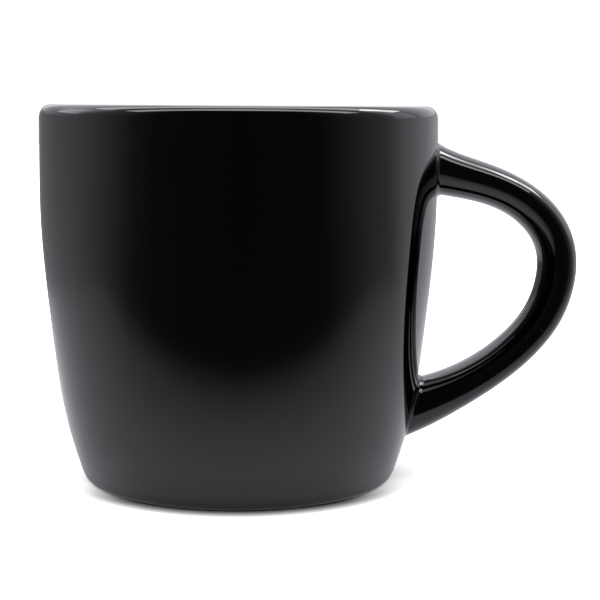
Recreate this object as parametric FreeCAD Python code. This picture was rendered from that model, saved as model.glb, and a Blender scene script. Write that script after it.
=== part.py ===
"""Ceramic mug with an ear handle, glazed in glossy black.

Frame: origin on the cup's axis, on the plane that the foot ring rests on.
+Z up, +X from the axis towards the handle, handle lying in the XZ plane.
Everything is in millimetres. Each solid is one separate piece of the mug.
"""
import FreeCAD, Part
import math
import os

# ---------------------------------------------------------------- dimensions
MUG_HEIGHT = 84.1          # table to the crest of the lip
BELLY_RADIUS = 44.5        # widest outside radius, glaze included
GLAZE = 0.30               # thickness of the fired glaze coat
GLAZE_EDGE = 0.06          # thickness left where the coat ends at the foot
GLAZE_FEATHER = 2.0        # length over which the coat thins out to that edge

# lip: a soft rounded edge, rounder outside than inside
LIP_CREST_RADIUS = BELLY_RADIUS - 3.0
LIP_OUT_RUN, LIP_OUT_DROP, LIP_OUT_POWER = 2.92, 3.2, 2.3
LIP_IN_RUN, LIP_IN_DROP, LIP_IN_POWER = 1.7, 2.6, 2.1

# outside of the cup, glaze included: (height, radius)
OUTSIDE = [
    (80.90, 44.42), (78.0, 44.45), (75.0, 44.48), (70.0, 44.50), (65.0, 44.50),
    (60.0, 44.40), (55.0, 44.166), (50.0, 43.802), (45.0, 43.347),
    (40.0, 42.84), (35.0, 42.303), (30.0, 41.731), (26.0, 41.243),
    (22.0, 40.695), (18.5, 40.126), (15.0, 39.44), (12.0, 38.742),
    (10.0, 38.215), (8.0, 37.64), (6.0, 37.019), (4.62, 36.566),
    (3.73, 36.269), (2.88, 35.98), (2.10, 35.684), (1.40, 35.367),
    (0.824, 35.017), (0.382, 34.618), (0.15, 34.29),
]
GLAZE_LINE = (0.15, 34.29)     # where the outer coat stops, just above the table
FOOT_OUTER_RADIUS = 33.62      # resting ring, outer edge
FOOT_INNER_RADIUS = 31.0       # resting ring, inner edge

# recess under the floor, inside the foot ring: (height, radius)
RECESS_LINE = (0.55, 30.15)    # where the underside coat starts
RECESS = [
    (0.55, 30.15), (1.10, 29.75), (1.60, 29.20), (2.00, 28.35),
    (2.28, 27.00), (2.42, 25.00), (2.50, 20.00), (2.58, 10.00), (2.60, 0.0),
]

# inside of the cup, glaze included: (height, radius)
INSIDE = [
    (81.50, 39.80), (79.0, 39.87), (76.0, 39.96), (70.0, 40.10), (65.0, 40.12),
    (60.0, 40.02), (55.0, 39.80), (45.0, 39.00), (35.0, 37.92), (26.0, 36.72),
    (20.0, 35.60), (16.2, 34.42), (13.2, 32.80), (10.7, 30.45), (8.95, 27.40),
    (7.85, 23.70), (7.28, 19.00), (7.06, 13.00), (7.00, 6.50), (7.00, 0.0),
]

# handle: centre line from the upper root round to the lower root, with half of
# its thickness in the XZ plane: (x, z, half thickness)
HANDLE = [
    (35.61, 73.97, 6.84), (39.72, 71.84, 6.26), (43.78, 70.24, 5.69),
    (47.97, 68.99, 5.20), (52.20, 67.89, 4.84), (56.39, 66.66, 4.60),
    (60.44, 65.04, 4.46), (64.23, 62.87, 4.40), (67.59, 60.08, 4.40),
    (70.29, 56.65, 4.39), (71.99, 52.64, 4.37), (72.52, 48.30, 4.35),
    (72.04, 43.97, 4.32), (70.79, 39.78, 4.28), (68.83, 35.88, 4.22),
    (66.23, 32.37, 4.17), (63.20, 29.22, 4.18), (59.86, 26.39, 4.20),
    (56.30, 23.85, 4.30), (52.56, 21.58, 4.50), (48.69, 19.57, 4.82),
    (44.69, 17.78, 5.29), (40.57, 16.19, 5.76), (36.47, 14.79, 6.11),
    (32.62, 13.64, 6.36),
]
HANDLE_HALF_WIDTH = 6.95       # half of its width across, mid span
HANDLE_ROOT_WIDER = 1.9        # added to that at the two roots
HANDLE_BELLY_SHIFT = 0.14      # widest line lies outward of the middle, share of the half thickness
HANDLE_OUTER_POWER = 2.1       # outer side a little flat; 2 is an ellipse
HANDLE_INNER_POWER = 2.0      # finger side rounder
ROOT_FILLET = 1.2              # radius smoothed into the wall round each root
SLIP = 0.8                     # depth of the slip that joins each root


# ------------------------------------------------------------------- helpers
def lip_points(run, drop, power, sign, count=14):
    """Crest of the lip out to where the wall begins, as (radius, height)."""
    points = []
    for i in range(count):
        angle = 0.5 * math.pi * i / (count - 1)
        across = run * math.sin(angle) ** (2.0 / power)
        down = drop * (1.0 - math.cos(angle) ** (2.0 / power)) if i < count - 1 else drop
        points.append((LIP_CREST_RADIUS + sign * across, MUG_HEIGHT - down))
    return points


def offset_curve(points, amounts):
    """Points moved to the left of their direction of travel by the amounts."""
    moved = []
    for i, (r, z) in enumerate(points):
        a = points[max(i - 1, 0)]
        b = points[min(i + 1, len(points) - 1)]
        dr, dz = b[0] - a[0], b[1] - a[1]
        length = math.hypot(dr, dz)
        moved.append((r - dz / length * amounts[i], z + dr / length * amounts[i]))
    return moved


def resample(points, count):
    """Even spacing along a smooth curve through the points."""
    curve = Part.BSplineCurve()
    curve.interpolate([FreeCAD.Vector(r, 0, z) for r, z in points])
    edge = curve.toShape()
    return [(v.x, v.z) for v in edge.discretize(Number=count)]


def spline(points, start=None, end=None):
    vectors = [FreeCAD.Vector(r, 0, z) for r, z in points]
    curve = Part.BSplineCurve()
    if start and end:
        curve.interpolate(Points=vectors, InitialTangent=start, FinalTangent=end)
    else:
        curve.interpolate(vectors)
    return curve.toShape()


def line(a, b):
    return Part.makeLine(FreeCAD.Vector(a[0], 0, a[1]), FreeCAD.Vector(b[0], 0, b[1]))


def turned(edges):
    """Solid of revolution about the cup's axis from a closed set of edges."""
    wire = Part.Wire(Part.__sortEdges__(edges))
    face = Part.Face(wire)
    solid = face.revolve(FreeCAD.Vector(0, 0, 0), FreeCAD.Vector(0, 0, 1), 360)
    if solid.ShapeType != "Solid":
        solid = solid.Solids[0]
    if solid.Volume < 0:
        solid.reverse()
    return solid


def arc_lengths(points):
    total = [0.0]
    for a, b in zip(points, points[1:]):
        total.append(total[-1] + math.hypot(b[0] - a[0], b[1] - a[1]))
    return total


def coat_thickness(points, feather_at_end):
    """Full thickness everywhere but near the end where the coat stops."""
    lengths = arc_lengths(points)
    result = []
    for s in lengths:
        gap = lengths[-1] - s if feather_at_end else s
        u = min(1.0, gap / GLAZE_FEATHER)
        u = u * u * (3 - 2 * u)
        result.append(GLAZE_EDGE + (GLAZE - GLAZE_EDGE) * u)
    return result


# ------------------------------------------------------------ cup's profiles
# glazed surfaces, from the crest of the lip outwards and down
outer_face = resample(
    lip_points(LIP_OUT_RUN, LIP_OUT_DROP, LIP_OUT_POWER, +1)[:-1]
    + [(r, z) for z, r in OUTSIDE], 90)
inner_face = resample(
    lip_points(LIP_IN_RUN, LIP_IN_DROP, LIP_IN_POWER, -1)[:-1]
    + [(r, z) for z, r in INSIDE], 90)
under_face = resample([(r, z) for z, r in RECESS], 30)

# clay surfaces under the coats
outer_amounts = [-t for t in coat_thickness(outer_face, True)]
outer_clay = offset_curve(outer_face, outer_amounts)
outer_clay[0] = (LIP_CREST_RADIUS, MUG_HEIGHT - GLAZE)
inner_clay = offset_curve(inner_face, [GLAZE] * len(inner_face))
inner_clay[0] = outer_clay[0]
inner_clay[-1] = (0.0, inner_face[-1][1] - GLAZE)
under_amounts = [-t for t in coat_thickness(under_face, False)]
under_clay = offset_curve(under_face, under_amounts)
under_clay[-1] = (0.0, under_face[-1][1] + GLAZE)

crest = outer_face[0]
clay_crest = outer_clay[0]

edge_outer_face = spline(outer_face)
edge_inner_face = spline(inner_face)
edge_under_face = spline(under_face)
edge_outer_clay = spline(outer_clay)
edge_inner_clay = spline(inner_clay)
edge_under_clay = spline(under_clay)

# dry foot: from the outer glaze line, round the corner, flat ring, up inside
foot_corner = spline([outer_face[-1], (33.98, 0.045), (FOOT_OUTER_RADIUS, 0.0)])
foot_flat = line((FOOT_OUTER_RADIUS, 0.0), (FOOT_INNER_RADIUS, 0.0))
foot_inside = spline([(FOOT_INNER_RADIUS, 0.0), (30.68, 0.10), (30.38, 0.29), under_face[0]])

cup_body = turned([
    edge_outer_clay, line(outer_clay[-1], outer_face[-1]), foot_corner, foot_flat,
    foot_inside, line(under_face[0], under_clay[0]), edge_under_clay,
    line(under_clay[-1], inner_clay[-1]), edge_inner_clay,
])
outer_glaze = turned([
    edge_outer_face, line(outer_face[-1], outer_clay[-1]), edge_outer_clay,
    line(clay_crest, crest),
])
liner_glaze = turned([
    edge_inner_face, line(inner_face[-1], inner_clay[-1]), edge_inner_clay,
    line(clay_crest, crest),
])
base_glaze = turned([
    edge_under_face, line(under_face[-1], under_clay[-1]), edge_under_clay,
    line(under_clay[0], under_face[0]),
])

# the whole cup filled in, used to trim the handle: clay, clay plus slip, glaze
def filled(points):
    low = points[-1]
    top = (0.0, points[0][1])
    return turned([spline(points), line(low, (0.0, low[1])), line((0.0, low[1]), top),
                   line(top, points[0])])


slip_face = offset_curve(outer_face, [SLIP + a for a in outer_amounts])
slip_face[0] = (LIP_CREST_RADIUS, MUG_HEIGHT - GLAZE + SLIP)
clay_filled = filled(outer_clay)
glaze_filled = filled(outer_face)
slip_filled = filled(slip_face)


# -------------------------------------------------------------------- handle
def natural_spline(ts, ys):
    """Second derivatives of a natural cubic spline."""
    n = len(ts)
    m = [0.0] * n
    a, b, c, d = [0.0] * n, [1.0] * n, [0.0] * n, [0.0] * n
    for i in range(1, n - 1):
        h0, h1 = ts[i] - ts[i - 1], ts[i + 1] - ts[i]
        a[i], b[i], c[i] = h0, 2 * (h0 + h1), h1
        d[i] = 6 * ((ys[i + 1] - ys[i]) / h1 - (ys[i] - ys[i - 1]) / h0)
    for i in range(1, n):
        w = a[i] / b[i - 1]
        b[i] -= w * c[i - 1]
        d[i] -= w * d[i - 1]
    for i in range(n - 2, 0, -1):
        m[i] = (d[i] - c[i] * m[i + 1]) / b[i]
    return m


def spline_at(ts, ys, m, t):
    k = 0
    while k < len(ts) - 2 and t > ts[k + 1]:
        k += 1
    h = ts[k + 1] - ts[k]
    a, b = (ts[k + 1] - t) / h, (t - ts[k]) / h
    y = a * ys[k] + b * ys[k + 1] + ((a ** 3 - a) * m[k] + (b ** 3 - b) * m[k + 1]) * h * h / 6
    dy = (ys[k + 1] - ys[k]) / h - (3 * a * a - 1) / 6 * h * m[k] + (3 * b * b - 1) / 6 * h * m[k + 1]
    return y, dy


path = arc_lengths([(x, z) for x, z, _ in HANDLE])
xs, zs, hs = ([row[i] for row in HANDLE] for i in range(3))
mx, mz, mh = natural_spline(path, xs), natural_spline(path, zs), natural_spline(path, hs)


def wall_radius(z):
    """Outside radius of the glazed cup at a height."""
    rows = OUTSIDE
    if z >= rows[0][0]:
        return rows[0][1]
    for (z1, r1), (z0, r0) in zip(rows, rows[1:]):
        if z >= z0:
            return r0 + (r1 - r0) * (z - z0) / (z1 - z0)
    return rows[-1][1]


def fillet_growth(gap, radius):
    """How far the handle's surface swells at this distance from the wall."""
    start = 0.14 * radius
    d = gap + start
    if d >= radius:
        return 0.0
    if d <= start:
        rim = radius - math.sqrt(radius ** 2 - (radius - start) ** 2)
        slope = (radius - start) / math.sqrt(radius ** 2 - (radius - start) ** 2)
        return rim + slope * min(start - d, 0.5)
    return radius - math.sqrt(radius ** 2 - (radius - d) ** 2)


SECTION_POINTS = 24


def handle_section(s, inset):
    """Points round the cross-section at this place along the centre line."""
    x, dx = spline_at(path, xs, mx, s)
    z, dz = spline_at(path, zs, mz, s)
    half, _ = spline_at(path, hs, mh, s)
    length = math.hypot(dx, dz)
    # outward in the XZ plane: to the left of the direction of travel
    nx, nz = -dz / length, dx / length
    middle = 2 * s / path[-1] - 1
    width = HANDLE_HALF_WIDTH + HANDLE_ROOT_WIDER * middle ** 2
    points = []
    for i in range(SECTION_POINTS):
        t = 2 * math.pi * (i + 0.5) / SECTION_POINTS
        c, q = math.cos(t), math.sin(t)
        shift = HANDLE_BELLY_SHIFT * half
        power = HANDLE_OUTER_POWER if c > 0 else HANDLE_INNER_POWER
        side = (half - shift - inset) if c > 0 else -(half + shift - inset)
        a = side * abs(c) ** (2 / power)
        b = (width - inset) * math.copysign(abs(q) ** (2 / power), q)
        px, py, pz = x + nx * (a + shift), b, z + nz * (a + shift)
        gap = math.hypot(px, py) - (wall_radius(pz) - inset)
        grow = fillet_growth(gap, ROOT_FILLET + inset)
        reach = math.hypot(a, b)
        a = shift + a * (1 + grow / reach)
        b *= 1 + grow / reach
        points.append(FreeCAD.Vector(x + nx * a, b, z + nz * a))
    return points


def closed_poles(points):
    """Poles of the smooth closed curve through the points, evenly spaced."""
    n = len(points)
    curve = Part.BSplineCurve()
    curve.interpolate(Points=points, PeriodicFlag=True,
                      Parameters=[float(i) for i in range(n + 1)])
    return curve.getPoles(), curve.getKnots(), curve.getMultiplicities()


def handle_solid(inset, trim):
    """Handle as one smooth skin round its sections, running on inside the wall."""
    stations = []
    s = trim
    end = path[-1] - trim
    while s < end - 0.5:
        stations.append(s)
        x, _ = spline_at(path, xs, mx, s)
        z, _ = spline_at(path, zs, mz, s)
        s += 1.1 if -4.0 < x - wall_radius(z) < 5.0 else 2.8
    stations.append(end)
    rows = []
    for s in stations:
        poles, uknots, umults = closed_poles(handle_section(s, inset))
        rows.append(poles)
    columns = []
    for j in range(len(rows[0])):
        curve = Part.BSplineCurve()
        curve.interpolate(Points=[row[j] for row in rows], Parameters=stations)
        columns.append(curve.getPoles())
        vknots, vmults = curve.getKnots(), curve.getMultiplicities()
    surface = Part.BSplineSurface()
    surface.buildFromPolesMultsKnots(columns, umults, vmults, uknots, vknots,
                                     True, False, 3, 3)
    side = surface.toShape()
    u0, u1, v0, v1 = surface.bounds()
    caps = []
    for v in (v0, v1):
        caps.append(Part.Face(Part.Wire([surface.vIso(v).toShape()])))
    shell = Part.makeShell([side] + caps)
    shell.sewShape()
    solid = Part.makeSolid(shell)
    if solid.Volume < 0:
        solid.reverse()
    return solid


core = handle_solid(GLAZE, 0.4)
skin = handle_solid(0.0, 1.2)

handle = core.cut(slip_filled)
slip_pads = core.common(slip_filled).cut(clay_filled)
handle_glaze = skin.cut(core).cut(glaze_filled)
outer_glaze = outer_glaze.cut(core)


def only_solids(shape, keep=None):
    solids = [s for s in shape.Solids if s.Volume > 0.5]
    if keep:
        solids = [s for s in solids if keep(s.CenterOfMass)]
    return solids


# the slip pad at each root, told apart by height
upper = only_solids(slip_pads, lambda c: c.z > 45 and c.x > 30)
lower = only_solids(slip_pads, lambda c: c.z < 45 and c.x > 30)

nodes = {
    "cup_body": [cup_body],
    "handle": only_solids(handle, lambda c: c.x > 40),
    "upper_slip_joint": upper,
    "lower_slip_joint": lower,
    "outer_glaze": only_solids(outer_glaze),
    "liner_glaze": [liner_glaze],
    "base_glaze": [base_glaze],
    "handle_glaze": only_solids(handle_glaze, lambda c: c.x > 40),
}

os.makedirs("parts", exist_ok=True)
for name, solids in nodes.items():
    shape = solids[0] if len(solids) == 1 else Part.makeCompound(solids)
    shape.exportStep("parts/%s.step" % name)
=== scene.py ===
"""Looks for the glazed ceramic mug: fine meshes for each piece, glaze and clay
materials, a pale floor, soft studio light and the camera."""

import math

import bpy
import bmesh
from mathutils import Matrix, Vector


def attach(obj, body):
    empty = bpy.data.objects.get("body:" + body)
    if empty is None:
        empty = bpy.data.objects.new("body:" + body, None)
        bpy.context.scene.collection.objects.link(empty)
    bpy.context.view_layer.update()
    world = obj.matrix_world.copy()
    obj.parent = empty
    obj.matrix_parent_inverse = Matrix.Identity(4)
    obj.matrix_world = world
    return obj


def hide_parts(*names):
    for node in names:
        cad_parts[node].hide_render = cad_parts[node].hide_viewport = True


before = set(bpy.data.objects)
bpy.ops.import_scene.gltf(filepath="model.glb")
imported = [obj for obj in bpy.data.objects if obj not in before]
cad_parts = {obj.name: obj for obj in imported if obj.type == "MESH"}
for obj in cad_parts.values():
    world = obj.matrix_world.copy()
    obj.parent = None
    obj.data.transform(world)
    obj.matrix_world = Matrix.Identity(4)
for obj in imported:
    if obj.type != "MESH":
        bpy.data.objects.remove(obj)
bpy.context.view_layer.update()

MM = 0.001

# ------------------------------------------------------------ the mug's sizes
MUG_HEIGHT = 84.1
BELLY_RADIUS = 44.5
GLAZE = 0.30
GLAZE_EDGE = 0.06
GLAZE_FEATHER = 2.0
LIP_CREST_RADIUS = BELLY_RADIUS - 3.0
LIP_OUT_RUN, LIP_OUT_DROP, LIP_OUT_POWER = 2.92, 3.2, 2.3
LIP_IN_RUN, LIP_IN_DROP, LIP_IN_POWER = 1.7, 2.6, 2.1
OUTSIDE = [
    (80.90, 44.42), (78.0, 44.45), (75.0, 44.48), (70.0, 44.50), (65.0, 44.50),
    (60.0, 44.40), (55.0, 44.166), (50.0, 43.802), (45.0, 43.347),
    (40.0, 42.84), (35.0, 42.303), (30.0, 41.731), (26.0, 41.243),
    (22.0, 40.695), (18.5, 40.126), (15.0, 39.44), (12.0, 38.742),
    (10.0, 38.215), (8.0, 37.64), (6.0, 37.019), (4.62, 36.566),
    (3.73, 36.269), (2.88, 35.98), (2.10, 35.684), (1.40, 35.367),
    (0.824, 35.017), (0.382, 34.618), (0.15, 34.29),
]
RECESS = [
    (0.55, 30.15), (1.10, 29.75), (1.60, 29.20), (2.00, 28.35),
    (2.28, 27.00), (2.42, 25.00), (2.50, 20.00), (2.58, 10.00), (2.60, 0.0),
]
INSIDE = [
    (81.50, 39.80), (79.0, 39.87), (76.0, 39.96), (70.0, 40.10), (65.0, 40.12),
    (60.0, 40.02), (55.0, 39.80), (45.0, 39.00), (35.0, 37.92), (26.0, 36.72),
    (20.0, 35.60), (16.2, 34.42), (13.2, 32.80), (10.7, 30.45), (8.95, 27.40),
    (7.85, 23.70), (7.28, 19.00), (7.06, 13.00), (7.00, 6.50), (7.00, 0.0),
]
FOOT_OUTER_RADIUS = 33.62
FOOT_INNER_RADIUS = 31.0
HANDLE = [
    (35.61, 73.97, 6.74), (39.72, 71.84, 6.16), (43.78, 70.24, 5.59),
    (47.97, 68.99, 5.10), (52.20, 67.89, 4.75), (56.39, 66.66, 4.53),
    (60.44, 65.04, 4.41), (64.23, 62.87, 4.37), (67.59, 60.08, 4.40),
    (70.29, 56.65, 4.39), (71.99, 52.64, 4.37), (72.52, 48.30, 4.35),
    (72.04, 43.97, 4.32), (70.79, 39.78, 4.28), (68.83, 35.88, 4.22),
    (66.23, 32.37, 4.17), (63.20, 29.22, 4.18), (59.86, 26.39, 4.20),
    (56.30, 23.85, 4.30), (52.56, 21.58, 4.50), (48.69, 19.57, 4.82),
    (44.69, 17.78, 5.29), (40.57, 16.19, 5.76), (36.47, 14.79, 6.11),
    (32.62, 13.64, 6.36),
]
HANDLE_HALF_WIDTH = 6.95
HANDLE_ROOT_WIDER = 1.9
HANDLE_BELLY_SHIFT = 0.14       # widest line lies outward of the middle
HANDLE_OUTER_POWER = 2.1        # outer side a little flat
HANDLE_INNER_POWER = 2.0       # finger side rounder
ROOT_FILLET = 1.25


# -------------------------------------------------------------------- splines
def natural_spline(ts, ys):
    n = len(ts)
    m = [0.0] * n
    a, b, c, d = [0.0] * n, [1.0] * n, [0.0] * n, [0.0] * n
    for i in range(1, n - 1):
        h0, h1 = ts[i] - ts[i - 1], ts[i + 1] - ts[i]
        a[i], b[i], c[i] = h0, 2 * (h0 + h1), h1
        d[i] = 6 * ((ys[i + 1] - ys[i]) / h1 - (ys[i] - ys[i - 1]) / h0)
    for i in range(1, n):
        w = a[i] / b[i - 1]
        b[i] -= w * c[i - 1]
        d[i] -= w * d[i - 1]
    for i in range(n - 2, 0, -1):
        m[i] = (d[i] - c[i] * m[i + 1]) / b[i]
    return m


def spline_at(ts, ys, m, t):
    lo, hi = 0, len(ts) - 2
    while lo < hi:
        mid = (lo + hi + 1) // 2
        if ts[mid] <= t:
            lo = mid
        else:
            hi = mid - 1
    k = lo
    h = ts[k + 1] - ts[k]
    a, b = (ts[k + 1] - t) / h, (t - ts[k]) / h
    y = a * ys[k] + b * ys[k + 1] + ((a ** 3 - a) * m[k] + (b ** 3 - b) * m[k + 1]) * h * h / 6
    dy = (ys[k + 1] - ys[k]) / h - (3 * a * a - 1) / 6 * h * m[k] + (3 * b * b - 1) / 6 * h * m[k + 1]
    return y, dy


def arc_lengths(points):
    total = [0.0]
    for p, q in zip(points, points[1:]):
        total.append(total[-1] + math.hypot(q[0] - p[0], q[1] - p[1]))
    return total


def smooth_resample(points, steps):
    """Points along a smooth curve through the given ones; steps(s, total) gives
    the spacing wanted at arc length s."""
    ts = arc_lengths(points)
    rs, zs = [p[0] for p in points], [p[1] for p in points]
    mr, mz = natural_spline(ts, rs), natural_spline(ts, zs)
    out, s = [], 0.0
    while s < ts[-1]:
        out.append((spline_at(ts, rs, mr, s)[0], spline_at(ts, zs, mz, s)[0]))
        s += steps(s, ts[-1])
    out.append(points[-1])
    return out


def lip_points(run, drop, power, sign, count):
    points = []
    for i in range(count):
        angle = 0.5 * math.pi * i / (count - 1)
        across = run * math.sin(angle) ** (2.0 / power)
        down = drop * (1.0 - math.cos(angle) ** (2.0 / power)) if i < count - 1 else drop
        points.append((LIP_CREST_RADIUS + sign * across, MUG_HEIGHT - down))
    return points


def offset_curve(points, amounts):
    moved = []
    for i, (r, z) in enumerate(points):
        a = points[max(i - 1, 0)]
        b = points[min(i + 1, len(points) - 1)]
        dr, dz = b[0] - a[0], b[1] - a[1]
        length = math.hypot(dr, dz)
        moved.append((r - dz / length * amounts[i], z + dr / length * amounts[i]))
    return moved


def feathered(points, at_end):
    lengths = arc_lengths(points)
    out = []
    for s in lengths:
        gap = lengths[-1] - s if at_end else s
        u = min(1.0, gap / GLAZE_FEATHER)
        out.append(GLAZE_EDGE + (GLAZE - GLAZE_EDGE) * u * u * (3 - 2 * u))
    return out


def lip_steps(s, total):
    if s < 6.0:
        return 0.16
    if s > total - 7.0:
        return 0.30
    return 0.85


outer_face = smooth_resample(
    lip_points(LIP_OUT_RUN, LIP_OUT_DROP, LIP_OUT_POWER, +1, 24)[:-1]
    + [(r, z) for z, r in OUTSIDE], lip_steps)
inner_face = smooth_resample(
    lip_points(LIP_IN_RUN, LIP_IN_DROP, LIP_IN_POWER, -1, 24)[:-1]
    + [(r, z) for z, r in INSIDE], lambda s, t: 0.16 if s < 6 else 0.9)
under_face = smooth_resample([(r, z) for z, r in RECESS], lambda s, t: 0.2 if s < 5 else 1.4)

outer_clay = offset_curve(outer_face, [-t for t in feathered(outer_face, True)])
outer_clay[0] = (LIP_CREST_RADIUS, MUG_HEIGHT - GLAZE)
inner_clay = offset_curve(inner_face, [GLAZE] * len(inner_face))
inner_clay[0] = outer_clay[0]
inner_clay[-1] = (0.0, inner_face[-1][1] - GLAZE)
under_clay = offset_curve(under_face, [-t for t in feathered(under_face, False)])
under_clay[-1] = (0.0, under_face[-1][1] + GLAZE)


def wall_radius(z):
    rows = OUTSIDE
    if z >= rows[0][0]:
        return rows[0][1]
    return spline_at(_wz, _wr, _wm, max(z, _wz[0]))[0]


_wz = [z for z, r in reversed(OUTSIDE)]
_wr = [r for z, r in reversed(OUTSIDE)]
_wm = natural_spline(_wz, _wr)


def wall_slope(z):
    return spline_at(_wz, _wr, _wm, min(max(z, _wz[0]), _wz[-1]))[1]


# --------------------------------------------------------------------- meshes
def new_object(name, verts, faces, material):
    mesh = bpy.data.meshes.new(name)
    mesh.from_pydata([Vector(v) * MM for v in verts], [], faces)
    mesh.validate()
    bm = bmesh.new()
    bm.from_mesh(mesh)
    bmesh.ops.recalc_face_normals(bm, faces=bm.faces)
    bm.to_mesh(mesh)
    bm.free()
    for p in mesh.polygons:
        p.use_smooth = True
    mesh.materials.append(material)
    obj = bpy.data.objects.new(name, mesh)
    bpy.context.collection.objects.link(obj)
    return obj


def lathe(name, loops, segments, material, seams=()):
    """Closed body of revolution. loops is one closed outline of (radius, height)
    points that may touch the axis; seams are the indexes of hard corners."""
    verts, rings = [], []
    for r, z in loops:
        if abs(r) < 1e-6:
            rings.append([len(verts)])
            verts.append((0.0, 0.0, z))
        else:
            ring = []
            for k in range(segments):
                a = 2 * math.pi * k / segments
                ring.append(len(verts))
                verts.append((r * math.cos(a), r * math.sin(a), z))
            rings.append(ring)
    faces = []
    n = len(loops)
    for i in range(n):
        a, b = rings[i], rings[(i + 1) % n]
        if len(a) == 1 and len(b) == 1:
            continue
        for k in range(segments):
            k2 = (k + 1) % segments
            if len(a) == 1:
                faces.append((a[0], b[k], b[k2]))
            elif len(b) == 1:
                faces.append((a[k], b[0], a[k2]))
            else:
                faces.append((a[k], b[k], b[k2], a[k2]))
    obj = new_object(name, verts, faces, material)
    hard = set()
    for i in seams:
        ring = rings[i % n]
        if len(ring) > 1:
            for k in range(segments):
                hard.add(frozenset((ring[k], ring[(k + 1) % segments])))
    if hard:
        mesh = obj.data
        attr = mesh.attributes.new("sharp_edge", "BOOLEAN", "EDGE")
        for e in mesh.edges:
            attr.data[e.index].value = frozenset(e.vertices) in hard
    return obj


# ------------------------------------------------------------------ materials
def node(nt, kind, x=0, y=0, **values):
    n = nt.nodes.new(kind)
    n.location = (x, y)
    for key, value in values.items():
        setattr(n, key, value)
    return n


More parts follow.
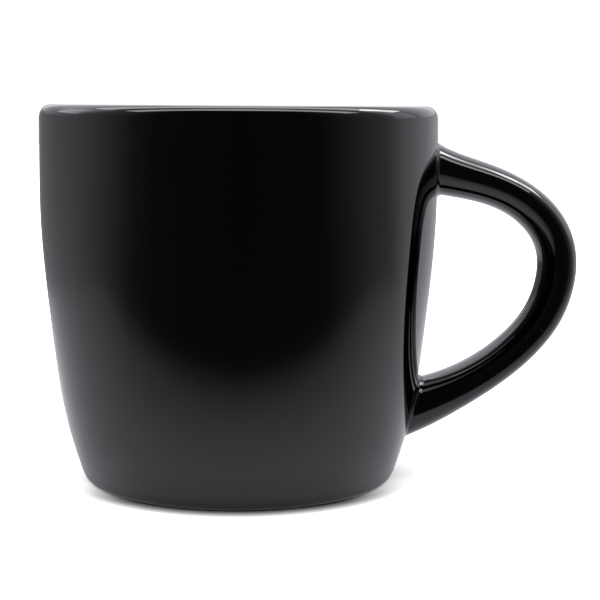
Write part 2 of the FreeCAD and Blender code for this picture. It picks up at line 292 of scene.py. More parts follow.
def glaze_material(name, roughness_low, roughness_high, tint):
    """Glossy black glaze: nearly black glass over dark iron-bearing glaze, with a
    faint ripple where it flowed, a few pinholes, and a thin handling haze."""
    mat = bpy.data.materials.new(name)
    mat.use_nodes = True
    nt = mat.node_tree
    nt.nodes.clear()
    out = node(nt, "ShaderNodeOutputMaterial", 900, 0)
    bsdf = node(nt, "ShaderNodeBsdfPrincipled", 600, 0)
    nt.links.new(bsdf.outputs["BSDF"], out.inputs["Surface"])
    bsdf.inputs["IOR"].default_value = 1.5
    bsdf.inputs["Specular IOR Level"].default_value = 0.5
    coords = node(nt, "ShaderNodeTexCoord", -1200, 0)

    # colour: black with very slight warm and cool drifts of the pigment
    drift = node(nt, "ShaderNodeTexNoise", -800, 300)
    drift.inputs["Scale"].default_value = 38.0
    drift.inputs["Detail"].default_value = 4.0
    drift.inputs["Roughness"].default_value = 0.55
    nt.links.new(coords.outputs["Object"], drift.inputs["Vector"])
    ramp = node(nt, "ShaderNodeValToRGB", -500, 300)
    ramp.color_ramp.elements[0].position = 0.35
    ramp.color_ramp.elements[0].color = (tint[0] * 0.6, tint[1] * 0.6, tint[2] * 0.6, 1)
    ramp.color_ramp.elements[1].position = 0.68
    ramp.color_ramp.elements[1].color = (tint[0], tint[1], tint[2], 1)
    nt.links.new(drift.outputs["Fac"], ramp.inputs["Fac"])
    # fine specks of undissolved oxide
    specks = node(nt, "ShaderNodeTexVoronoi", -800, 20)
    specks.inputs["Scale"].default_value = 620.0
    nt.links.new(coords.outputs["Object"], specks.inputs["Vector"])
    speck_mask = node(nt, "ShaderNodeMapRange", -560, 20)
    speck_mask.inputs["From Min"].default_value = 0.10
    speck_mask.inputs["From Max"].default_value = 0.04
    speck_mask.inputs["To Min"].default_value = 0.0
    speck_mask.inputs["To Max"].default_value = 1.0
    nt.links.new(specks.outputs["Distance"], speck_mask.inputs["Value"])
    patches = node(nt, "ShaderNodeTexNoise", -800, -160)
    patches.inputs["Scale"].default_value = 130.0
    nt.links.new(coords.outputs["Object"], patches.inputs["Vector"])
    patch_mask = node(nt, "ShaderNodeMapRange", -560, -160)
    patch_mask.inputs["From Min"].default_value = 0.58
    patch_mask.inputs["From Max"].default_value = 0.70
    nt.links.new(patches.outputs["Fac"], patch_mask.inputs["Value"])
    both = node(nt, "ShaderNodeMath", -380, -60, operation="MULTIPLY")
    nt.links.new(speck_mask.outputs["Result"], both.inputs[0])
    nt.links.new(patch_mask.outputs["Result"], both.inputs[1])
    speck_mix = node(nt, "ShaderNodeMix", -180, 260, data_type="RGBA")
    speck_mix.inputs["B"].default_value = (0.020, 0.018, 0.016, 1)
    nt.links.new(both.outputs[0], speck_mix.inputs["Factor"])
    nt.links.new(ramp.outputs["Color"], speck_mix.inputs["A"])
    nt.links.new(speck_mix.outputs["Result"], bsdf.inputs["Base Color"])

    # roughness: mirror-like with slow patches that are a touch less polished
    haze = node(nt, "ShaderNodeTexNoise", -800, -400)
    haze.inputs["Scale"].default_value = 24.0
    haze.inputs["Detail"].default_value = 5.0
    haze.inputs["Roughness"].default_value = 0.6
    haze.inputs["Distortion"].default_value = 0.4
    nt.links.new(coords.outputs["Object"], haze.inputs["Vector"])
    haze_range = node(nt, "ShaderNodeMapRange", -500, -400)
    haze_range.inputs["From Min"].default_value = 0.3
    haze_range.inputs["From Max"].default_value = 0.75
    haze_range.inputs["To Min"].default_value = roughness_low
    haze_range.inputs["To Max"].default_value = roughness_high
    nt.links.new(haze.outputs["Fac"], haze_range.inputs["Value"])
    rough_add = node(nt, "ShaderNodeMath", -100, -360, operation="MULTIPLY_ADD")
    rough_add.inputs[1].default_value = 0.10
    nt.links.new(both.outputs[0], rough_add.inputs[0])
    nt.links.new(haze_range.outputs["Result"], rough_add.inputs[2])
    nt.links.new(rough_add.outputs[0], bsdf.inputs["Roughness"])

    # relief: slow flow ripple, finer orange peel, and rare pinholes
    ripple = node(nt, "ShaderNodeTexNoise", -800, -700)
    ripple.inputs["Scale"].default_value = 60.0
    ripple.inputs["Detail"].default_value = 2.0
    nt.links.new(coords.outputs["Object"], ripple.inputs["Vector"])
    peel = node(nt, "ShaderNodeTexNoise", -800, -900)
    peel.inputs["Scale"].default_value = 420.0
    peel.inputs["Detail"].default_value = 3.0
    nt.links.new(coords.outputs["Object"], peel.inputs["Vector"])
    bump1 = node(nt, "ShaderNodeBump", 100, -700)
    bump1.inputs["Strength"].default_value = 0.05
    bump1.inputs["Distance"].default_value = 0.0004
    nt.links.new(ripple.outputs["Fac"], bump1.inputs["Height"])
    bump2 = node(nt, "ShaderNodeBump", 300, -700)
    bump2.inputs["Strength"].default_value = 0.05
    bump2.inputs["Distance"].default_value = 0.00003
    nt.links.new(peel.outputs["Fac"], bump2.inputs["Height"])
    nt.links.new(bump1.outputs["Normal"], bump2.inputs["Normal"])
    bump3 = node(nt, "ShaderNodeBump", 450, -700, invert=True)
    bump3.inputs["Strength"].default_value = 0.35
    bump3.inputs["Distance"].default_value = 0.00006
    nt.links.new(both.outputs[0], bump3.inputs["Height"])
    nt.links.new(bump2.outputs["Normal"], bump3.inputs["Normal"])
    nt.links.new(bump3.outputs["Normal"], bsdf.inputs["Normal"])
    return mat


def clay_material(name, base, dark, scale):
    """Fired stoneware: warm grey buff with grog specks and open grain."""
    mat = bpy.data.materials.new(name)
    mat.use_nodes = True
    nt = mat.node_tree
    nt.nodes.clear()
    out = node(nt, "ShaderNodeOutputMaterial", 900, 0)
    bsdf = node(nt, "ShaderNodeBsdfPrincipled", 600, 0)
    nt.links.new(bsdf.outputs["BSDF"], out.inputs["Surface"])
    bsdf.inputs["IOR"].default_value = 1.45
    bsdf.inputs["Specular IOR Level"].default_value = 0.35
    coords = node(nt, "ShaderNodeTexCoord", -1200, 0)
    body = node(nt, "ShaderNodeTexNoise", -900, 250)
    body.inputs["Scale"].default_value = scale
    body.inputs["Detail"].default_value = 8.0
    body.inputs["Roughness"].default_value = 0.62
    nt.links.new(coords.outputs["Object"], body.inputs["Vector"])
    ramp = node(nt, "ShaderNodeValToRGB", -620, 250)
    ramp.color_ramp.elements[0].position = 0.32
    ramp.color_ramp.elements[0].color = (*dark, 1)
    ramp.color_ramp.elements[1].position = 0.66
    ramp.color_ramp.elements[1].color = (*base, 1)
    nt.links.new(body.outputs["Fac"], ramp.inputs["Fac"])
    grog = node(nt, "ShaderNodeTexVoronoi", -900, 0)
    grog.inputs["Scale"].default_value = 900.0
    nt.links.new(coords.outputs["Object"], grog.inputs["Vector"])
    grog_mask = node(nt, "ShaderNodeMapRange", -640, 0)
    grog_mask.inputs["From Min"].default_value = 0.22
    grog_mask.inputs["From Max"].default_value = 0.08
    nt.links.new(grog.outputs["Distance"], grog_mask.inputs["Value"])
    pick = node(nt, "ShaderNodeMath", -440, -40, operation="GREATER_THAN")
    pick.inputs[1].default_value = 0.72
    sep = node(nt, "ShaderNodeSeparateColor", -640, -140)
    nt.links.new(grog.outputs["Color"], sep.inputs["Color"])
    nt.links.new(sep.outputs["Red"], pick.inputs[0])
    mask = node(nt, "ShaderNodeMath", -280, 0, operation="MULTIPLY")
    nt.links.new(grog_mask.outputs["Result"], mask.inputs[0])
    nt.links.new(pick.outputs[0], mask.inputs[1])
    mix = node(nt, "ShaderNodeMix", -80, 200, data_type="RGBA")
    mix.inputs["B"].default_value = (0.20, 0.15, 0.11, 1)
    nt.links.new(mask.outputs[0], mix.inputs["Factor"])
    nt.links.new(ramp.outputs["Color"], mix.inputs["A"])
    nt.links.new(mix.outputs["Result"], bsdf.inputs["Base Color"])
    rough = node(nt, "ShaderNodeMapRange", -80, -120)
    rough.inputs["From Min"].default_value = 0.3
    rough.inputs["From Max"].default_value = 0.7
    rough.inputs["To Min"].default_value = 0.62
    rough.inputs["To Max"].default_value = 0.86
    nt.links.new(body.outputs["Fac"], rough.inputs["Value"])
    nt.links.new(rough.outputs["Result"], bsdf.inputs["Roughness"])
    grain = node(nt, "ShaderNodeTexNoise", -900, -420)
    grain.inputs["Scale"].default_value = 2400.0
    grain.inputs["Detail"].default_value = 4.0
    nt.links.new(coords.outputs["Object"], grain.inputs["Vector"])
    total = node(nt, "ShaderNodeMath", -500, -420, operation="MULTIPLY_ADD")
    total.inputs[1].default_value = -0.6
    nt.links.new(mask.outputs[0], total.inputs[0])
    nt.links.new(grain.outputs["Fac"], total.inputs[2])
    bump = node(nt, "ShaderNodeBump", 300, -400)
    bump.inputs["Strength"].default_value = 0.5
    bump.inputs["Distance"].default_value = 0.00008
    nt.links.new(total.outputs[0], bump.inputs["Height"])
    nt.links.new(bump.outputs["Normal"], bsdf.inputs["Normal"])
    return mat


outside_glaze = glaze_material("glaze_outside", 0.012, 0.035, (0.00025, 0.00025, 0.0003))
inside_glaze = glaze_material("glaze_inside", 0.015, 0.045, (0.0003, 0.0003, 0.00035))
handle_glaze_mat = glaze_material("glaze_handle", 0.012, 0.035, (0.00025, 0.00025, 0.0003))
under_glaze = glaze_material("glaze_underside", 0.03, 0.09, (0.0012, 0.0011, 0.0012))
clay = clay_material("fired_clay", (0.56, 0.49, 0.40), (0.42, 0.36, 0.29), 260.0)
slip_clay = clay_material("fired_slip", (0.52, 0.46, 0.38), (0.40, 0.35, 0.28), 420.0)

SEG = 256

# ------------------------------------------------------------ cup's own pieces
cup_outside = lathe("cup_outside_glaze", outer_face + outer_clay[::-1], SEG, outside_glaze,
                    seams=(0, len(outer_face) - 1, len(outer_face), 2 * len(outer_face) - 1))
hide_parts("outer_glaze")

cup_inside = lathe("cup_inside_glaze", inner_face + inner_clay[::-1], SEG, inside_glaze,
                   seams=(0, 2 * len(inner_face) - 1))
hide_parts("liner_glaze")

cup_under = lathe("underside_glaze", under_face + under_clay[::-1], SEG, under_glaze,
                  seams=(0, 2 * len(under_face) - 1))
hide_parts("base_glaze")

foot = smooth_resample([outer_face[-1], (33.98, 0.045), (FOOT_OUTER_RADIUS, 0.0)], lambda s, t: 0.12)
foot += [(33.0, 0.0), (32.3, 0.0), (31.6, 0.0), (FOOT_INNER_RADIUS, 0.0)]
foot += smooth_resample([(FOOT_INNER_RADIUS, 0.0), (30.68, 0.10), (30.38, 0.29), under_face[0]],
                        lambda s, t: 0.12)[1:]
body_loop = outer_clay + foot + under_clay + inner_clay[::-1][:-1]
a0 = len(outer_clay)
cup_clay = lathe("cup_clay_body", body_loop, SEG, clay,
                 seams=(a0 - 1, a0, a0 + len(foot) - 1, a0 + len(foot)))
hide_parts("cup_body")


# --------------------------------------------------------------------- handle
path = arc_lengths([(x, z) for x, z, _ in HANDLE])
hx, hz, hh = ([row[i] for row in HANDLE] for i in range(3))
mx, mz, mh = natural_spline(path, hx), natural_spline(path, hz), natural_spline(path, hh)


def strand(s, t, inset=0.0):
    """Point on the handle's side at length s and angle t round the section."""
    x, dx = spline_at(path, hx, mx, s)
    z, dz = spline_at(path, hz, mz, s)
    half, _ = spline_at(path, hh, mh, s)
    length = math.hypot(dx, dz)
    nx, nz = -dz / length, dx / length
    middle = 2 * s / path[-1] - 1
    width = HANDLE_HALF_WIDTH + HANDLE_ROOT_WIDER * middle ** 2
    c, q = math.cos(t), math.sin(t)
    shift = HANDLE_BELLY_SHIFT * half
    power = HANDLE_OUTER_POWER if c > 0 else HANDLE_INNER_POWER
    side = (half - shift - inset) if c > 0 else -(half + shift - inset)
    a = shift + side * abs(c) ** (2 / power)
    b = (width - inset) * math.copysign(abs(q) ** (2 / power), q)
    return Vector((x + nx * a, b, z + nz * a))


def strand_frame(s, t, inset=0.0):
    """Point, direction of travel and outward normal there."""
    p = strand(s, t, inset)
    along = (strand(s + 0.02, t, inset) - strand(s - 0.02, t, inset)).normalized()
    e = 0.01
    around = (strand(s, t + e, inset) - strand(s, t - e, inset)).normalized()
    normal = along.cross(around)
    x, _ = spline_at(path, hx, mx, s)
    z, _ = spline_at(path, hz, mz, s)
    if normal.dot(p - Vector((x, 0, z))) < 0:
        normal = -normal
    return p, along, normal.normalized()


def gap_to_wall(p, inset=0.0):
    return math.hypot(p.x, p.y) - (wall_radius(p.z) - inset)


def wall_hit(t, low, high, inset=0.0):
    """Length at which a strand crosses the wall, between low and high."""
    f_low = gap_to_wall(strand(low, t, inset), inset)
    for _ in range(48):
        mid = 0.5 * (low + high)
        if (gap_to_wall(strand(mid, t, inset), inset) > 0) == (f_low > 0):
            low = mid
        else:
            high = mid
    return 0.5 * (low + high)


def on_wall(p, sink=0.0, inset=0.0):
    r = math.hypot(p.x, p.y)
    k = (wall_radius(p.z) - inset - sink) / r
    return Vector((p.x * k, p.y * k, p.z))


FILLET_STEPS = 9


def root_fillet(t, s_hit, direction, radius, inset=0.0):
    """Points of one strand's fillet, from the wall out to where it meets the
    strand, and the length along the handle where that is."""
    p, along, normal = strand_frame(s_hit, t, inset)
    away = along * direction
    slope = wall_slope(p.z)
    r = math.hypot(p.x, p.y)
    wall_normal = Vector((p.x / r, p.y / r, -slope)).normalized()
    # the wall's own line in the plane of the strand and its normal
    m = (normal * wall_normal.dot(away) - away * wall_normal.dot(normal)).normalized()
    cosine = max(-0.95, min(0.95, m.dot(away)))
    angle = math.acos(cosine)
    reach = radius / math.tan(angle / 2)
    centre = p + away * reach + normal * radius
    start = p + m * reach            # on the wall
    end = p + away * reach           # on the strand
    u, v = (start - centre), (end - centre)
    sweep = math.pi - angle
    axis_v = (v - u * (u.dot(v) / u.length_squared)).normalized() * radius
    points = []
    for i in range(FILLET_STEPS + 1):
        a = sweep * i / FILLET_STEPS
        points.append(centre + u * math.cos(a) + axis_v * math.sin(a))
    # the wall is curved: ease the wall end of the fillet onto it
    miss = gap_to_wall(points[0], inset)
    for i, q in enumerate(points):
        w = (1 - i / FILLET_STEPS) ** 2
        rq = math.hypot(q.x, q.y)
        q.x -= q.x / rq * miss * w
        q.y -= q.y / rq * miss * w
    return points, s_hit + direction * reach, m


def handle_mesh(name, inset, material, strands, rings, radius_up, radius_low):
    columns = []
    mid = path[-1] * 0.5
    for i in range(strands):
        t = 2 * math.pi * (i + 0.5) / strands
        s_up = wall_hit(t, 0.5, mid, inset)
        s_low = wall_hit(t, path[-1] - 0.5, mid, inset)
        top, s_a, m_up = root_fillet(t, s_up, +1, radius_up, inset)
        low, s_b, m_low = root_fillet(t, s_low, -1, radius_low, inset)
        column = []
        # tuck the edge just under the wall's surface
        column.append(on_wall(top[0] + m_up * 0.25, 0.12, inset))
        column.extend(top)
        # match the strand where the fillet hands over to it
        first = strand(s_a, t, inset)
        shift_a = top[-1] - first
        last = strand(s_b, t, inset)
        shift_b = low[-1] - last
        span = s_b - s_a
        for k in range(1, rings):
            u = k / rings
            s = s_a + span * u
            q = strand(s, t, inset)
            q += shift_a * max(0.0, 1 - u * 5) ** 2 + shift_b * max(0.0, 1 - (1 - u) * 5) ** 2
            column.append(q)
        column.extend(reversed(low))
        column.append(on_wall(low[0] + m_low * 0.25, 0.12, inset))
        columns.append(column)
    verts, faces = [], []
    rows = len(columns[0])
    for column in columns:
        verts.extend(column)
    for i in range(strands):
        j = (i + 1) % strands
        for k in range(rows - 1):
            faces.append((i * rows + k, j * rows + k, j * rows + k + 1, i * rows + k + 1))
    # close both ends under the wall
    for k in (0, rows - 1):
        centre = Vector((0, 0, 0))
        for i in range(strands):
            centre += columns[i][k]
        centre /= strands
        c = len(verts)
        inner = []
        for i in range(strands):
            q = columns[i][k].lerp(centre, 0.35)
            inner.append(len(verts))
            verts.append(on_wall(q, 0.22, inset))
        c = len(verts)
        verts.append(on_wall(centre, 0.25, inset))
        for i in range(strands):
            j = (i + 1) % strands
            faces.append((i * rows + k, j * rows + k, inner[j], inner[i]))
            faces.append((inner[i], inner[j], c))
    return new_object(name, verts, faces, material)


ear = handle_mesh("handle_glaze_coat", 0.0, handle_glaze_mat, 112, 190, ROOT_FILLET, ROOT_FILLET)
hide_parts("handle_glaze")



def slip_pad(name, upper, strands=96):
    """The thin bed of slip between the handle's foot and the cup's clay."""
    mid, inset = path[-1] * 0.5, GLAZE + 0.15
    near = 0.5 if upper else path[-1] - 0.5
    step = 1 if upper else -1
    columns = []
    for i in range(strands):
        t = 2 * math.pi * (i + 0.5) / strands
        s_hit = wall_hit(t, near, mid, GLAZE)
        rim = strand(s_hit, t, inset)
        out = strand(s_hit + step * 0.45, t, inset)
        inner = strand(s_hit, t, inset + 1.4)
        column = [on_wall(inner, 0.62), on_wall(rim, 0.60), on_wall(rim, 0.45), on_wall(rim, 0.34),
                  rim.lerp(out, 0.5), out, strand(s_hit + step * 0.62, t, inset + 0.25),
                  strand(s_hit + step * 0.66, t, inset + 1.4)]
        columns.append(column)
    rows = len(columns[0])
    verts = [p for column in columns for p in column]
    faces = []
    for i in range(strands):
        j = (i + 1) % strands
        for k in range(rows - 1):
            faces.append((i * rows + k, j * rows + k, j * rows + k + 1, i * rows + k + 1))
    for k in (0, rows - 1):
        centre = Vector((0, 0, 0))
        for column in columns:
            centre += column[k]
        c = len(verts)
        verts.append(centre / strands)
        for i in range(strands):
            faces.append((i * rows + k, ((i + 1) % strands) * rows + k, c))
    return new_object(name, verts, faces, slip_clay)


upper_pad = slip_pad("upper_slip_pad", True)
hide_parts("upper_slip_joint")
lower_pad = slip_pad("lower_slip_pad", False)
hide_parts("lower_slip_joint")

# what the coat hides keeps its CAD shape, in clay
for name, mat in (("handle", clay),):
    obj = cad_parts[name]
    obj.data.materials.clear()
    obj.data.materials.append(mat)

for piece in (cup_outside, cup_inside, cup_under, cup_clay, ear, upper_pad, lower_pad):
    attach(piece, "root")


# ---------------------------------------------------------------------- stage
# How bright the studio looks round the mug, by compass angle from the front
# (degrees, right positive): dark in front, grey walls left, whiter right.
AZIMUTH = [
    (-180, .25), (-150, .29), (-120, .49), (-105, .59), (-90, .53), (-75, .35), (-60, .12), (-45, .055),
    (0, .03), (45, .045), (60, .15), (75, .31), (90, .42), (105, .80), (120, .83), (150, .68), (180, .25),
]
# Painted pool of light: the table top's glow in reflections fades away from the mug (metres, share of full
# brightness).
TABLE_FADE = [
    (0.045, 1.0), (0.060, .86), (0.075, .67), (0.090, .47), (0.105, .19), (0.115, .05), (0.130, 0.0),
]
# ... and painted shade darkens that glow close to the foot, less in front than at the sides.
FOOT_SHADE_FRONT = [(0.033, .10), (0.036, .55), (0.038, .83), (0.045, 1.0)]
FOOT_SHADE_SIDE = [(0.033, .12), (0.039, .58), (0.047, .80), (0.058, .92), (0.072, 1.0)]
FOOT_SHADE_REAR = [(0.033, .08), (0.036, .34), (0.047, .50), (0.058, .70), (0.078, 1.0)]


def math_node(nt, operation, a, b=None, clamp=False):
    n = nt.nodes.new("ShaderNodeMath")
    n.operation = operation
    n.use_clamp = clamp
    for i, v in enumerate((a, b)):
        if v is None:
            continue
        if isinstance(v, (int, float)):
            n.inputs[i].default_value = v
        else:
            nt.links.new(v, n.inputs[i])
    return n.outputs[0]


def map_node(nt, value, low, high, to_low=0.0, to_high=1.0, smooth=False):
    n = nt.nodes.new("ShaderNodeMapRange")
    if smooth:
        n.interpolation_type = "SMOOTHSTEP"
    n.inputs["From Min"].default_value = low
    n.inputs["From Max"].default_value = high
    n.inputs["To Min"].default_value = to_low
    n.inputs["To Max"].default_value = to_high
    nt.links.new(value, n.inputs["Value"])
    return n.outputs["Result"]


def table_node(nt, value, rows):
    """Look a value up in a table of (where, how much) rows."""
    low, high = rows[0][0], rows[-1][0]
    peak = max(v for _, v in rows)
    n = nt.nodes.new("ShaderNodeValToRGB")
    ramp = n.color_ramp
    while len(ramp.elements) < len(rows):
        ramp.elements.new(1.0)
    for i, (x, v) in enumerate(rows):
        ramp.elements[i].position = (x - low) / (high - low)
    for i, (x, v) in enumerate(rows):
        ramp.elements[i].position = (x - low) / (high - low)
        ramp.elements[i].color = (v / peak, v / peak, v / peak, 1)
    nt.links.new(map_node(nt, value, low, high), n.inputs["Fac"])
    bw = nt.nodes.new("ShaderNodeRGBToBW")
    nt.links.new(n.outputs["Color"], bw.inputs[0])
    return math_node(nt, "MULTIPLY", bw.outputs[0], peak)


def blend_node(nt, t, a, b):
    """a where t is 0, b where t is 1."""
    n = nt.nodes.new("ShaderNodeMix")
    n.data_type = "FLOAT"
    for v, socket in ((t, n.inputs[0]), (a, n.inputs[2]), (b, n.inputs[3])):
        if isinstance(v, (int, float)):
            socket.default_value = v
        else:
            nt.links.new(v, socket)
    return n.outputs[0]


def compass(nt, x, y):
    """Angle from the front (-Y), right positive, in degrees."""
    a = math_node(nt, "ARCTAN2", x, math_node(nt, "MULTIPLY", y, -1.0))
    return math_node(nt, "MULTIPLY", a, 180.0 / math.pi)


def floor_material():
    """Matt white table with a painted shadow round the foot. Polished things in the room see it
    as a glowing patch, a painted pool of light with painted shade by the foot that fades to the dark room in
    front, which is what a studio table looks like."""
    mat = bpy.data.materials.new("pale_floor")
    mat.use_nodes = True
    mat.cycles.emission_sampling = "NONE"
    nt = mat.node_tree
    nt.nodes.clear()
    out = node(nt, "ShaderNodeOutputMaterial", 600, 0)
    coords = node(nt, "ShaderNodeTexCoord", -800, 0)
    sep = node(nt, "ShaderNodeSeparateXYZ", -600, 0)
    nt.links.new(coords.outputs["Object"], sep.inputs[0])
    x, y = sep.outputs["X"], sep.outputs["Y"]
    radius = math_node(nt, "SQRT", math_node(
        nt, "ADD", math_node(nt, "MULTIPLY", x, x), math_node(nt, "MULTIPLY", y, y)))

    grain = node(nt, "ShaderNodeTexNoise", -500, 0)
    grain.inputs["Scale"].default_value = 300.0
    nt.links.new(coords.outputs["Object"], grain.inputs["Vector"])
    paper = map_node(nt, grain.outputs["Fac"], 0.3, 0.7, 0.90, 0.93)
    # painted shadow: ambient occlusion darkens the floor's own colour round the foot
    painted_shadow_ao = node(nt, "ShaderNodeAmbientOcclusion", -500, -300)
    painted_shadow_ao.samples = 24
    painted_shadow_ao.inputs["Distance"].default_value = 0.0048
    shade = math_node(nt, "POWER", painted_shadow_ao.outputs["AO"], 2.4)
    # painted shadow: made deepest in front of the mug, the side away from the light above and behind, fainter
    # behind it and faint at the sides
    ahead = map_node(nt, y, -0.009, -0.028, 0.06, 1.0, smooth=True)
    beyond = map_node(nt, y, 0.012, 0.024, 0.0, 0.7, smooth=True)
    shade = blend_node(nt, math_node(nt, "MAXIMUM", ahead, beyond), 1.0, shade)
    # floor colour is the paper tone times the painted shadow
    white = math_node(nt, "MULTIPLY", paper, shade)
    rgb = node(nt, "ShaderNodeCombineColor", -100, 0)
    for socket in rgb.inputs:
        nt.links.new(white, socket)
    matt = node(nt, "ShaderNodeBsdfDiffuse", 100, 0)
    nt.links.new(rgb.outputs[0], matt.inputs["Color"])

    front_y = math_node(nt, "MINIMUM", y, 0.0)
    back_y = math_node(nt, "MULTIPLY", math_node(nt, "MAXIMUM", y, 0.0), 0.3)
    side_x = math_node(nt, "MULTIPLY", x, 0.45)
    depth = math_node(nt, "ADD", front_y, back_y)
    reach = math_node(nt, "SQRT", math_node(
        nt, "ADD", math_node(nt, "MULTIPLY", side_x, side_x), math_node(nt, "MULTIPLY", depth, depth)))
    angle = compass(nt, x, y)
    table = blend_node(nt, table_node(nt, reach, TABLE_FADE), table_node(nt, angle, AZIMUTH), 0.95)
    sideways = map_node(nt, math_node(nt, "ABSOLUTE", angle), 50.0, 100.0, smooth=True)
    painted_foot_shade = blend_node(nt, sideways, table_node(nt, radius, FOOT_SHADE_FRONT),
                            table_node(nt, radius, FOOT_SHADE_SIDE))
    rearward = map_node(nt, math_node(nt, "ABSOLUTE", angle), 105.0, 135.0, smooth=True)
    painted_foot_shade = blend_node(nt, rearward, painted_foot_shade, table_node(nt, radius, FOOT_SHADE_REAR))
    # the floor glows for glossy rays: painted pool of light times painted shade by the foot
    seen = node(nt, "ShaderNodeEmission", 100, -300)
    seen.inputs["Color"].default_value = (0.98, 0.98, 1.06, 1)
    nt.links.new(math_node(nt, "MULTIPLY", table, painted_foot_shade), seen.inputs["Strength"])

    path_kind = node(nt, "ShaderNodeLightPath", 100, 300)
    mix = node(nt, "ShaderNodeMixShader", 400, 0)
    nt.links.new(path_kind.outputs["Is Glossy Ray"], mix.inputs["Fac"])
    nt.links.new(matt.outputs[0], mix.inputs[1])
    nt.links.new(seen.outputs[0], mix.inputs[2])
    nt.links.new(mix.outputs[0], out.inputs["Surface"])
    return mat


def disc(name, radius, segments, material):
    bm = bmesh.new()
    rings = [0.0, 0.3, 0.6, 0.8, 1.0]
    previous = [bm.verts.new((0, 0, 0))]
    for f in rings[1:]:
        ring = [bm.verts.new((radius * f * math.cos(2 * math.pi * k / segments),
                              radius * f * math.sin(2 * math.pi * k / segments), 0))
                for k in range(segments)]
        for k in range(segments):
            k2 = (k + 1) % segments
            if len(previous) == 1:
                bm.faces.new((previous[0], ring[k], ring[k2]))
            else:
                bm.faces.new((previous[k], ring[k], ring[k2], previous[k2]))
        previous = ring
    mesh = bpy.data.meshes.new(name)
    bm.to_mesh(mesh)
    bm.free()
    mesh.materials.append(material)
    obj = bpy.data.objects.new(name, mesh)
    bpy.context.collection.objects.link(obj)
    return obj


floor = disc("floor", 3.0, 96, floor_material())

# ---------------------------------------------------------------------- world
world = bpy.data.worlds.new("studio")
bpy.context.scene.world = world
world.use_nodes = True
world.cycles.sampling_method = "NONE"
nt = world.node_tree
nt.nodes.clear()
w_out = node(nt, "ShaderNodeOutputWorld", 1600, 0)
bg_camera = node(nt, "ShaderNodeBackground", 1000, 300)
bg_camera.inputs["Color"].default_value = (1, 1, 1, 1)
bg_camera.inputs["Strength"].default_value = 1.05
bg_light = node(nt, "ShaderNodeBackground", 1000, 100)
bg_light.inputs["Color"].default_value = (1, 1, 1, 1)
bg_light.inputs["Strength"].default_value = 2.6
bg_gloss = node(nt, "ShaderNodeBackground", 1000, -100)
bg_gloss.inputs["Color"].default_value = (0.98, 0.98, 1.06, 1)
light_path = node(nt, "ShaderNodeLightPath", 700, 500)
mix_a = node(nt, "ShaderNodeMixShader", 1250, 0)
mix_b = node(nt, "ShaderNodeMixShader", 1420, 100)
nt.links.new(light_path.outputs["Is Glossy Ray"], mix_a.inputs["Fac"])
nt.links.new(bg_light.outputs[0], mix_a.inputs[1])
nt.links.new(bg_gloss.outputs[0], mix_a.inputs[2])
nt.links.new(light_path.outputs["Is Camera Ray"], mix_b.inputs["Fac"])
nt.links.new(mix_a.outputs[0], mix_b.inputs[1])
nt.links.new(bg_camera.outputs[0], mix_b.inputs[2])
nt.links.new(mix_b.outputs[0], w_out.inputs["Surface"])

tc = node(nt, "ShaderNodeTexCoord", -900, 0)
sep = node(nt, "ShaderNodeSeparateXYZ", -700, 0)
nt.links.new(tc.outputs["Generated"], sep.inputs[0])
bearing = compass(nt, sep.outputs["X"], sep.outputs["Y"])
walls = table_node(nt, bearing, AZIMUTH)
# the white ceiling takes over high up
ceiling = map_node(nt, sep.outputs["Z"], math.sin(math.radians(66)), math.sin(math.radians(78)), 0.0, 1.15)
# a backdrop rises behind the mug and wraps round both sides; its upper part is
# the brightest, straight behind
height = math_node(nt, "MULTIPLY", math_node(nt, "ARCSINE", sep.outputs["Z"]), 180.0 / math.pi)
left_wall = table_node(nt, height, [(4.0, 0.0), (10.0, .62), (22.0, .80), (30.0, 1.5), (46.0, 1.7), (49.0, .70),
                                    (62.0, .70), (70.0, 0.0)])
right_wall = table_node(nt, height, [(4.0, 0.0), (10.0, 1.35), (28.0, 1.6), (46.0, 1.6), (50.0, 1.1),
                                     (62.0, .9), (70.0, 0.0)])
rear_wall = table_node(nt, height, [(4.0, 0.0), (8.0, 1.15), (14.0, 1.1), (30.0, 1.15), (43.0, 1.15),
                                    (48.0, .30), (58.0, .25), (70.0, 0.0)])
rear_centre = table_node(nt, height, [(4.0, 0.0), (8.0, 1.25), (34.0, 1.5), (42.0, 3.0), (47.0, 3.0),
                                      (49.5, .9), (62.0, .7), (70.0, 0.0)])
off_back = math_node(nt, "ABSOLUTE", bearing)
left_part = math_node(nt, "MULTIPLY", left_wall, map_node(nt, bearing, -80.0, -112.0, smooth=True))
right_part = math_node(nt, "MULTIPLY", right_wall, math_node(
    nt, "MULTIPLY", map_node(nt, bearing, 90.0, 106.0, smooth=True),
    map_node(nt, bearing, 134.0, 116.0, smooth=True)))
rear_part = math_node(nt, "MULTIPLY", rear_wall, math_node(
    nt, "MAXIMUM", map_node(nt, bearing, 114.0, 132.0, smooth=True),
    map_node(nt, bearing, -150.0, -166.0, smooth=True)))
# a soft lamp shade stands to the left and behind
left_glow = math_node(nt, "MULTIPLY", math_node(
    nt, "MULTIPLY", map_node(nt, height, 15.0, 21.0, smooth=True), map_node(nt, height, 42.0, 37.0, smooth=True)),
    math_node(nt, "MULTIPLY", map_node(nt, bearing, -141.0, -131.0, smooth=True),
              map_node(nt, bearing, -102.0, -114.0, smooth=True)))
left_glow = math_node(nt, "MULTIPLY", left_glow, 2.6)
centre_part = math_node(nt, "MULTIPLY", rear_centre, map_node(nt, off_back, 162.0, 172.0, smooth=True))
backdrop = math_node(nt, "MAXIMUM", math_node(nt, "MAXIMUM", math_node(nt, "MAXIMUM", left_part, left_glow),
                                              right_part),
                     math_node(nt, "MAXIMUM", rear_part, centre_part))
brightness = math_node(nt, "MAXIMUM", math_node(nt, "MAXIMUM", walls, ceiling), backdrop)
nt.links.new(brightness, bg_gloss.inputs["Strength"])


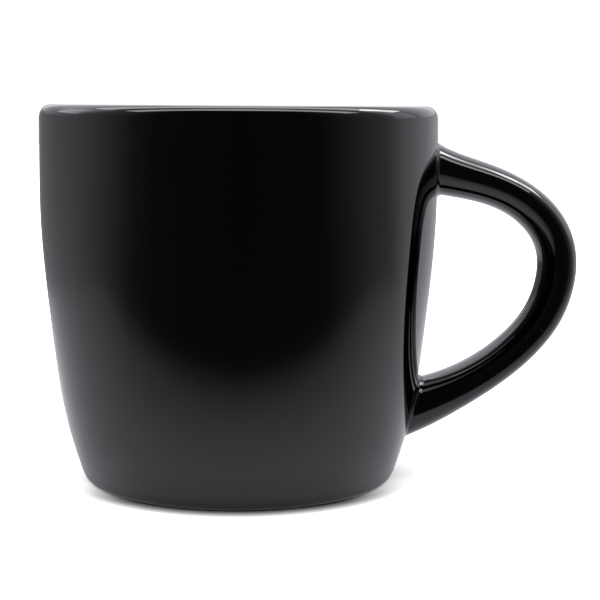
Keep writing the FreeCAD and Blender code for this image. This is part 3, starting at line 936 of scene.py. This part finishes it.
# --------------------------------------------------------------------- lights
def softbox(name, centre, size_x, size_y, radiance, target=None):
    """A flat light seen only in reflections; radiance is how bright it looks."""
    data = bpy.data.lights.new(name, "AREA")
    data.shape = "RECTANGLE"
    data.size, data.size_y = size_x, size_y
    data.energy = radiance * math.pi * size_x * size_y
    obj = bpy.data.objects.new(name, data)
    obj.location = centre
    if target is not None:
        d = Vector(target) - Vector(centre)
        obj.rotation_euler = d.to_track_quat("-Z", "Y").to_euler()
    bpy.context.collection.objects.link(obj)
    obj.visible_camera = False
    obj.visible_diffuse = False
    return obj


softbox("overhead_front", (0.05, -0.137, 0.80), 1.5, 0.194, 5.0)
softbox("overhead_back", (0.0, 0.32, 0.80), 1.3, 0.26, 4.0)
softbox("overhead_right", (0.60, 0.34, 0.72), 0.22, 0.30, 8.0, (0, 0, 0.08))

# --------------------------------------------------------------------- camera
cam_data = bpy.data.cameras.new("camera")
cam = bpy.data.objects.new("camera", cam_data)
bpy.context.collection.objects.link(cam)
CAM_DISTANCE, CAM_HEIGHT = 0.350, 0.0841
PITCH, YAW, ROLL, FOCAL_PX = 0.12478588, 0.03951903, 0.00587702, 1547.668
cam_data.sensor_width = 36.0
cam_data.sensor_fit = "HORIZONTAL"
cam_data.lens = FOCAL_PX / 600.0 * 36.0
cam_data.clip_start = 0.01
cam_data.clip_end = 50.0
forward = Vector((math.sin(YAW) * math.cos(PITCH), math.cos(YAW) * math.cos(PITCH), -math.sin(PITCH)))
right0 = Vector((math.cos(YAW), -math.sin(YAW), 0.0))
up0 = right0.cross(forward)
right = right0 * math.cos(ROLL) + up0 * math.sin(ROLL)
up = up0 * math.cos(ROLL) - right0 * math.sin(ROLL)
from mathutils import Matrix
rot = Matrix((right, up, -forward)).transposed().to_4x4()
cam.matrix_world = Matrix.Translation((0.0, -CAM_DISTANCE, CAM_HEIGHT)) @ rot
bpy.context.scene.camera = cam
bpy.context.scene.view_settings.view_transform = "Standard"
bpy.context.scene.view_settings.look = "None"
